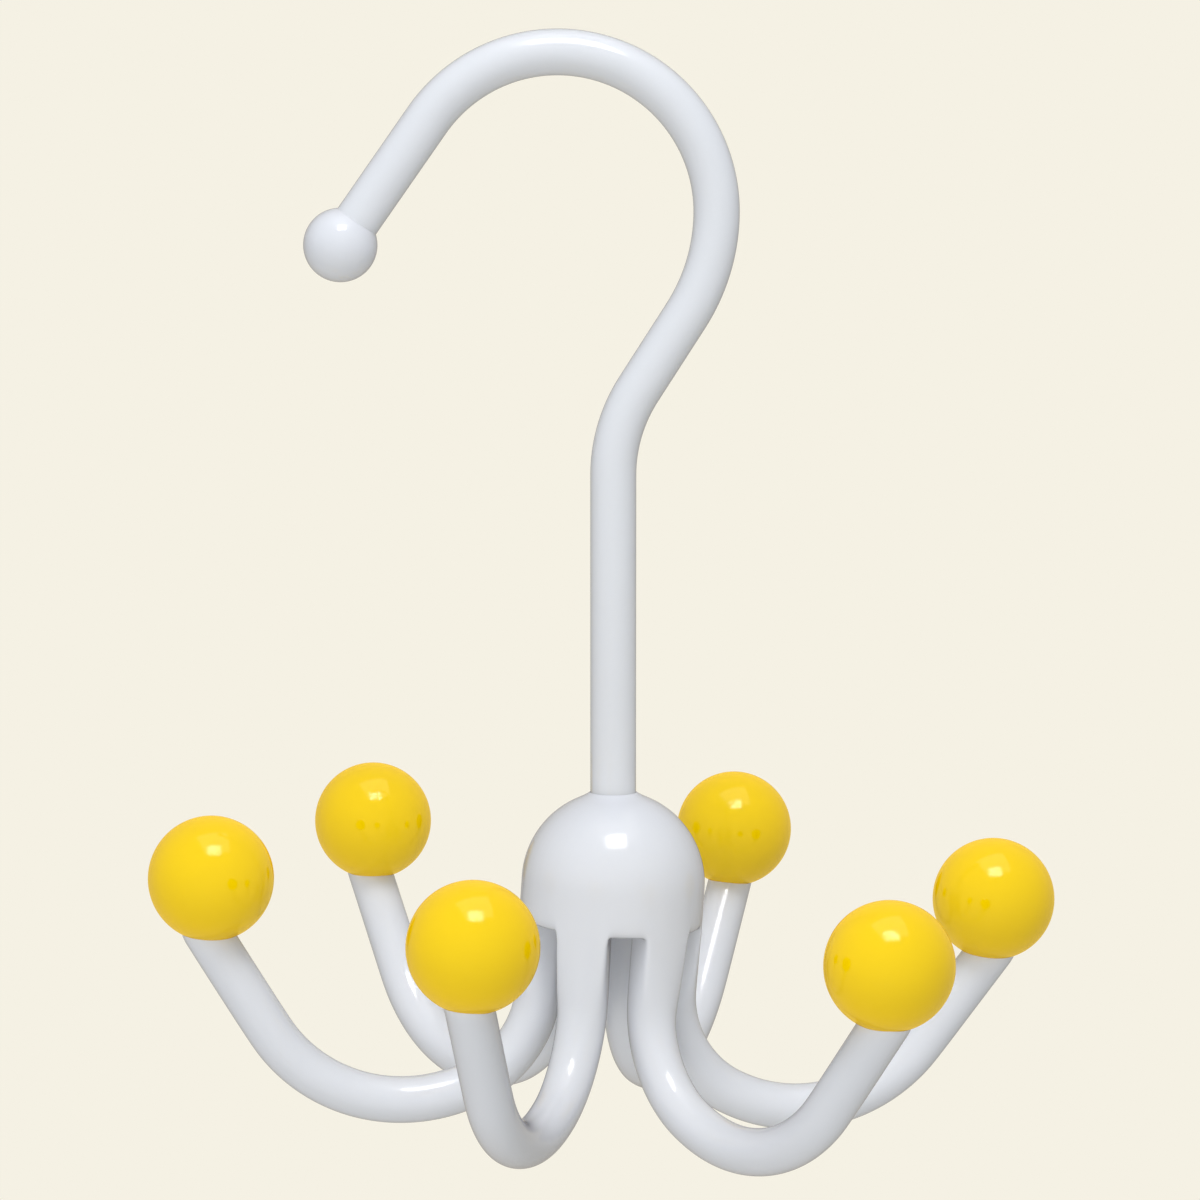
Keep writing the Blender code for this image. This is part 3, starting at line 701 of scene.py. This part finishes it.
class Finish:
    """The nodes of one material, or of the room's world."""

    def __init__(self, owner):
        owner.use_nodes = True
        self.owner, self.tree = owner, owner.node_tree
        self.tree.nodes.clear()

    def node(self, kind, settings=None, inputs=None, output=0):
        """Adds a node, sets it, gives its sockets their values or links and returns one output."""
        added = self.tree.nodes.new(kind)
        for name, value in (settings or {}).items():
            setattr(added, name, value)
        for name, value in (inputs or {}).items():
            if isinstance(value, Wire):
                self.tree.links.new(value.socket, added.inputs[name])
            else:
                added.inputs[name].default_value = value
        return Wire(self, added.outputs[output]) if added.outputs else None

    def place(self):
        """The place on the object, in metres."""
        return self.node("ShaderNodeTexCoord", output="Object")

    def noise(self, grains, detail, roughness=0.5):
        """Noise between 0 and 1, with so many grains in a metre."""
        return self.node("ShaderNodeTexNoise", None, {
            "Vector": self.place(), "Scale": grains, "Detail": detail, "Roughness": roughness})

    def tinted(self, low, high, factor):
        """Colour between two colours by a factor."""
        return self.node("ShaderNodeMix", {"data_type": "RGBA"},
                         {"Factor": factor, "A": (*low, 1), "B": (*high, 1)}, output="Result")

    def bump(self, height, distance, strength=1.0):
        """Normal of a surface raised by height times distance."""
        return self.node("ShaderNodeBump", None,
                         {"Height": height, "Distance": distance, "Strength": strength})

    def finished(self, **inputs):
        """Ends the material in a Principled shader, its sockets named with underscores."""
        named = {name.replace("_", " "): value for name, value in inputs.items()}
        shader = self.node("ShaderNodeBsdfPrincipled", None, named)
        self.node("ShaderNodeOutputMaterial", None, {"Surface": shader})
        return self.owner

    def looked_at(self):
        """1 for the camera, for reflections and through glass, 0 for soft light."""
        rays = [self.node("ShaderNodeLightPath", output=f"Is {ray} Ray")
                for ray in ("Camera", "Glossy", "Transmission")]
        return rays[0].maths("MAXIMUM", rays[0].maths("MAXIMUM", rays[0], rays[1]), rays[2])

    def mixed(self, share, first, second):
        """First shader where share is 0, second where it is 1."""
        return self.node("ShaderNodeMixShader", None, {0: share, 1: first, 2: second})


def shaded(base, share):
    """The colour with each part times share."""
    return tuple(min(part * share, 1.0) for part in base)


def new_finish(name):
    """A new material of this name, still without nodes."""
    return Finish(bpy.data.materials.new(name))


def gloss_finish(name, base, skin, roughness):
    """Polished moulded plastic: faint flow marks in the colour, polish that varies, and a slow ripple.

    Its skin is a thin layer tinted with the colour skin, through which the eye looks further towards
    the outline, where the colour deepens. Seen straight on, the colour is base.
    """
    finish = new_finish(name)
    under = tuple(part / tint for part, tint in zip(base, skin))
    flow = finish.noise(FLOW_GRAINS, detail=3)
    polish = finish.noise(POLISH_GRAINS, detail=3)
    ripple = finish.noise(RIPPLE_GRAINS, detail=1)
    height = ripple + finish.noise(FINE_RIPPLE_GRAINS, detail=2) * FINE_RIPPLE_SHARE
    return finish.finished(
        Base_Color=finish.tinted(*(shaded(under, share) for share in FLOW_SHADES), flow),
        Roughness=roughness - POLISH_RANGE / 2 + polish * POLISH_RANGE, IOR=PLASTIC_IOR,
        Normal=finish.bump(height, RIPPLE_HEIGHT),
        Coat_Weight=1.0, Coat_Roughness=roughness, Coat_IOR=SKIN_IOR, Coat_Tint=(*skin, 1))


def white_finish(name, finishes, roughness=WHITE_ROUGHNESS):
    """Polished plastic in the hanger's white."""
    return gloss_finish(name, finishes.white_plastic, finishes.white_skin, roughness)


def matte_finish(name, base, grains):
    """Unpolished moulded plastic with a fine spark-eroded grain."""
    finish = new_finish(name)
    spots = finish.noise(grains, detail=4, roughness=0.6)
    return finish.finished(
        Base_Color=finish.tinted(*(shaded(base, share) for share in MATTE_SHADES), spots),
        Roughness=MATTE_ROUGHNESS + spots * MATTE_RANGE, Normal=finish.bump(spots, MATTE_HEIGHT),
        IOR=MATTE_IOR)


def plated_finish(name, base):
    """Zinc plating over turned steel: fine rings, and spots where the plating is duller."""
    finish = new_finish(name)
    rings = finish.node("ShaderNodeTexWave", {"wave_type": "RINGS", "rings_direction": "Z"}, {
        "Vector": finish.place(), "Scale": TURNING_RINGS, "Distortion": 1.5, "Detail": 2.0}, output="Fac")
    spots = finish.noise(PLATING_GRAINS, detail=4, roughness=0.65)
    return finish.finished(
        Base_Color=finish.tinted(*(shaded(base, share) for share in PLATING_SHADES), spots),
        Roughness=PLATING_ROUGHNESS + spots * PLATING_RANGE, Metallic=1.0,
        Normal=finish.bump(rings, TURNING_HEIGHT, strength=0.5))


def sheet_finish(base, clear):
    """Cream card with a soft shadow near the hanger, plain from the distance clear on.

    Soft light meets CARD_BOUNCE of the colour base. The camera and reflections see base, and a share
    of that is plain light, which no shadow darkens: CARD_GLOW near the hanger, growing from
    SHADOW_FADE times clear on, and all of it at clear. The card shows its upper side only, so that a
    view from below looks through it.
    """
    finish = new_finish("sheet_card")
    centred = finish.node("ShaderNodeMapping", None, {
        "Vector": finish.place(), "Location": (-HUB_CENTRE[0], -HUB_CENTRE[1], 0), "Scale": (1, 1, 0)})
    away = finish.node("ShaderNodeVectorMath", {"operation": "LENGTH"}, {0: centred}, output="Value")
    far = finish.node("ShaderNodeMapRange", {"interpolation_type": "SMOOTHSTEP"}, {
        "Value": away, "From Min": clear * SHADOW_FADE, "From Max": clear})
    plain = finish.node("ShaderNodeEmission", None, {"Color": (*base, 1), "Strength": 1.0})
    looked_at = finish.looked_at()
    bright = looked_at * (CARD_SHADE + finish.noise(CARD_GRAINS, detail=4) * (1 - CARD_SHADE))
    card = finish.node("ShaderNodeBsdfDiffuse", None, {
        "Color": finish.tinted(shaded(base, CARD_BOUNCE), base, bright)})
    seen = finish.mixed(looked_at * (CARD_GLOW + far * (1 - CARD_GLOW)), card, plain)
    underside = finish.node("ShaderNodeNewGeometry", output="Backfacing")
    finish.node("ShaderNodeOutputMaterial", None, {
        "Surface": finish.mixed(underside, seen, finish.node("ShaderNodeBsdfTransparent"))})
    return finish.owner


def room_finish(world, light, strength, seen):
    """Even room light, which looks like the sheet to the camera and in reflections."""
    room = Finish(world)
    lit = room.node("ShaderNodeBackground", None, {"Color": (*light, 1), "Strength": strength})
    plain = room.node("ShaderNodeBackground", None, {"Color": (*seen, 1), "Strength": 1.0})
    room.node("ShaderNodeOutputWorld", None, {"Surface": room.mixed(room.looked_at(), lit, plain)})


# Operators, one for each group of pieces

# Width of the camera's frame, in millimetres as its lens is
FRAME_WIDTH = 36.0
NEAREST_VIEW = 10 * MM
SHEET_COLUMNS = 17
SHEET_STEPS = 8
SHEET_BEND_STEP = math.radians(6)


class HANGER_OT_studio(bpy.types.Operator):
    """Set up the camera, the sheet, the lamps and the room light."""

    bl_idname = "hanger.studio"
    bl_label = "Studio"

    def execute(self, context):
        scene, studio = context.scene, context.scene.hanger_studio
        self.add_camera(scene, studio)
        self.add_sheet(scene, studio)
        key = studio.key_width, studio.key_height, studio.key_rise, studio.key_side
        self.add_lamp(scene, "key", *key, studio.key_watts).visible_glossy = False
        self.add_lamp(scene, "glint", *key, studio.glint_watts).visible_diffuse = False
        self.add_lamp(scene, "overhead", studio.top_size, studio.top_size, studio.top_rise,
                      studio.top_side, studio.top_watts)
        self.add_lamp(scene, "fill", studio.fill_width, studio.fill_height, studio.fill_rise,
                      studio.fill_side, studio.fill_watts).visible_glossy = False
        self.add_lamp(scene, "back", studio.back_size, studio.back_size, studio.back_rise,
                      studio.back_side, studio.back_watts).visible_glossy = False
        scene.world = bpy.data.worlds.new("room")
        room_finish(scene.world, studio.room_colour, studio.room_strength, scene.hanger_finishes.sheet)
        scene.view_settings.view_transform = "Standard"
        return {"FINISHED"}

    def add_camera(self, scene, studio):
        """A camera in front of the hub that looks a little down."""
        data = bpy.data.cameras.new("camera")
        data.lens, data.sensor_width, data.clip_start = studio.lens, FRAME_WIDTH, NEAREST_VIEW
        camera = bpy.data.objects.new("camera", data)
        camera.location = HUB_CENTRE + [studio.camera_right, -studio.camera_back, studio.camera_up]
        camera.rotation_euler = (math.radians(90) - studio.camera_pitch, 0, 0)
        scene.collection.objects.link(camera)
        scene.camera = camera

    def add_sheet(self, scene, studio):
        """Point = (u, v) with v along a floor, a quarter bend and an upright part.

        The last quad of each row is left out, because it would join the sheet's two sides.
        """
        path = PlanePath(-studio.sheet_front, -studio.floor_drop, 0)
        floor_length = studio.sheet_front + studio.sheet_depth - studio.sheet_bend
        path.straight(floor_length, even_shares(SHEET_STEPS))
        path.bend(studio.sheet_bend, math.radians(90), SHEET_BEND_STEP)
        path.straight(studio.sheet_height - studio.sheet_bend, even_shares(SHEET_STEPS))
        grid = np.empty((len(path.rows), SHEET_COLUMNS, 3))
        grid[..., 0] = np.linspace(-0.5, 0.5, SHEET_COLUMNS) * studio.sheet_width
        grid[..., 1:] = path.rows[:, None, :2]
        faces = grid_faces(len(grid), SHEET_COLUMNS).reshape(-1, SHEET_COLUMNS, 4)[:, :-1]
        mesh = bpy.data.meshes.new("sheet")
        mesh.from_pydata((grid + HUB_CENTRE).reshape(-1, 3), [], faces.reshape(-1, 4).tolist())
        mesh.shade_smooth()
        mesh.materials.append(sheet_finish(scene.hanger_finishes.sheet, studio.sheet_clear))
        sheet = bpy.data.objects.new("sheet", mesh)
        scene.collection.objects.link(sheet)

    def add_lamp(self, scene, name, width, height, rise, side, watts):
        """A softbox that faces the hub from these angles above and to the right of the camera."""
        data = bpy.data.lights.new(name, "AREA")
        data.shape, data.size, data.size_y, data.energy = "RECTANGLE", width, height, watts
        lamp = bpy.data.objects.new(name, data)
        level = math.cos(rise)
        toward = np.array([math.sin(side) * level, -math.cos(side) * level, math.sin(rise)])
        lamp.location = HUB_CENTRE + toward * scene.hanger_studio.lamp_reach
        lamp.rotation_euler = (math.radians(90) - rise, 0, side)
        scene.collection.objects.link(lamp)
        return lamp


class HANGER_OT_hook(bpy.types.Operator):
    """Make the coated rod and the ball on its tip."""

    bl_idname = "hanger.hook"
    bl_label = "Hook"

    def execute(self, context):
        hook, finishes = context.scene.hanger_hook, context.scene.hanger_finishes
        rings, tip = hook_rows(hook)
        coating = gloss_finish("rod_coating", finishes.coated_rod, finishes.white_skin, ROD_ROUGHNESS)
        add_piece("coated_rod", *closed_tube(rings), coating, "hook", "coated_rod", ["hook_rod"])
        ball = closed_ball(tip_ball_centre(hook, tip), hook.tip_ball_diameter / 2)
        add_piece("tip_ball", *ball, white_finish("tip_plastic", finishes), "hook", "white_plastic",
                  ["hook_tip_ball"])
        return {"FINISHED"}


class HANGER_OT_hub(bpy.types.Operator):
    """Make the dome and its six arms as one rounded surface, parted under the skirt."""

    bl_idname = "hanger.hub"
    bl_label = "Hub and arms"

    def execute(self, context):
        scene = context.scene
        moulded = white_finish("moulded_white", scene.hanger_finishes)
        points, normals, quads, owner = hub_surface(scene.hanger_hub, scene.hanger_arms,
                                                    scene.hanger_hook.rod_diameter / 2)
        for number in range(scene.hanger_arms.count + 1):
            used, faces = np.unique(quads[owner == number], return_inverse=True)
            name, node = (f"arm_skin_{number}", f"arm_{number}") if number else ("dome_skin", "hub_dome")
            add_piece(name, points[used], faces.reshape(-1, 4).tolist(), moulded, "hub", "white_plastic",
                      [node], normals[used])
        return {"FINISHED"}


class HANGER_OT_balls(bpy.types.Operator):
    """Make the six yellow balls."""

    bl_idname = "hanger.balls"
    bl_label = "Balls"

    def execute(self, context):
        scene = context.scene
        hub, arms, finishes = scene.hanger_hub, scene.hanger_arms, scene.hanger_finishes
        plastic = gloss_finish("moulded_yellow", finishes.yellow_plastic, finishes.yellow_skin,
                               YELLOW_ROUGHNESS)
        _, seat_across = arm_path(hub, arms)
        even_place = np.array([seat_across - arms.ball_inset, 0, -arms.ball_drop])
        for number in range(arms.count):
            turned = turned_about_z(even_place, arm_turn(hub, arms, number))
            centre = leaned(turned, 1, hub.lean) + ball_sway(arms, number)
            add_piece(f"yellow_ball_{number + 1}", *closed_ball(centre, arms.ball_diameter / 2), plastic,
                      "hub", "yellow_plastic", [f"ball_{number + 1}"])
        return {"FINISHED"}


class HANGER_OT_inside(bpy.types.Operator):
    """Finish the solids inside the hub: carrier, cover, bush, washer and lock nut."""

    bl_idname = "hanger.inside"
    bl_label = "Inside of the hub"

    def execute(self, context):
        finishes = context.scene.hanger_finishes
        steel = plated_finish("zinc_plating", finishes.plated_steel)
        given = {
            "hub_core": matte_finish("carrier_plastic", finishes.core_plastic, CARRIER_GRAINS),
            "core_plug": white_finish("cover_plastic", finishes, COVER_ROUGHNESS),
            "swivel_bush": matte_finish("bush_nylon", finishes.nylon, NYLON_GRAINS),
            "swivel_washer": steel,
            "lock_nut": steel,
        }
        for node, material in given.items():
            mesh = frame["nodes"][node].data
            mesh.materials.clear()
            mesh.materials.append(material)
        return {"FINISHED"}


class HANGER_PT_panel(bpy.types.Panel):
    """Lists the hanger's operators and its sizes."""

    bl_label = "Accessory hanger"
    bl_idname = "HANGER_PT_panel"
    bl_space_type = "VIEW_3D"
    bl_region_type = "UI"
    bl_category = "Hanger"

    def draw(self, context):
        for operator in OPERATORS:
            self.layout.operator(operator.bl_idname)
        for group, kind in GROUPS.items():
            box = self.layout.box()
            for name in kind.__annotations__:
                box.prop(getattr(context.scene, group), name)


OPERATORS = (HANGER_OT_studio, HANGER_OT_hook, HANGER_OT_hub, HANGER_OT_balls, HANGER_OT_inside)


def register():
    for kind in (*GROUPS.values(), *OPERATORS, HANGER_PT_panel):
        bpy.utils.register_class(kind)
    for name, kind in GROUPS.items():
        setattr(bpy.types.Scene, name, PointerProperty(type=kind))


def unregister():
    for name in GROUPS:
        delattr(bpy.types.Scene, name)
    for kind in (HANGER_PT_panel, *OPERATORS, *GROUPS.values()):
        bpy.utils.unregister_class(kind)


def main():
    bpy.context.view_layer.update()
    register()
    bpy.ops.hanger.studio()
    bpy.ops.hanger.hook()
    bpy.ops.hanger.hub()
    bpy.ops.hanger.balls()
    bpy.ops.hanger.inside()


if __name__ == "__main__":
    main()
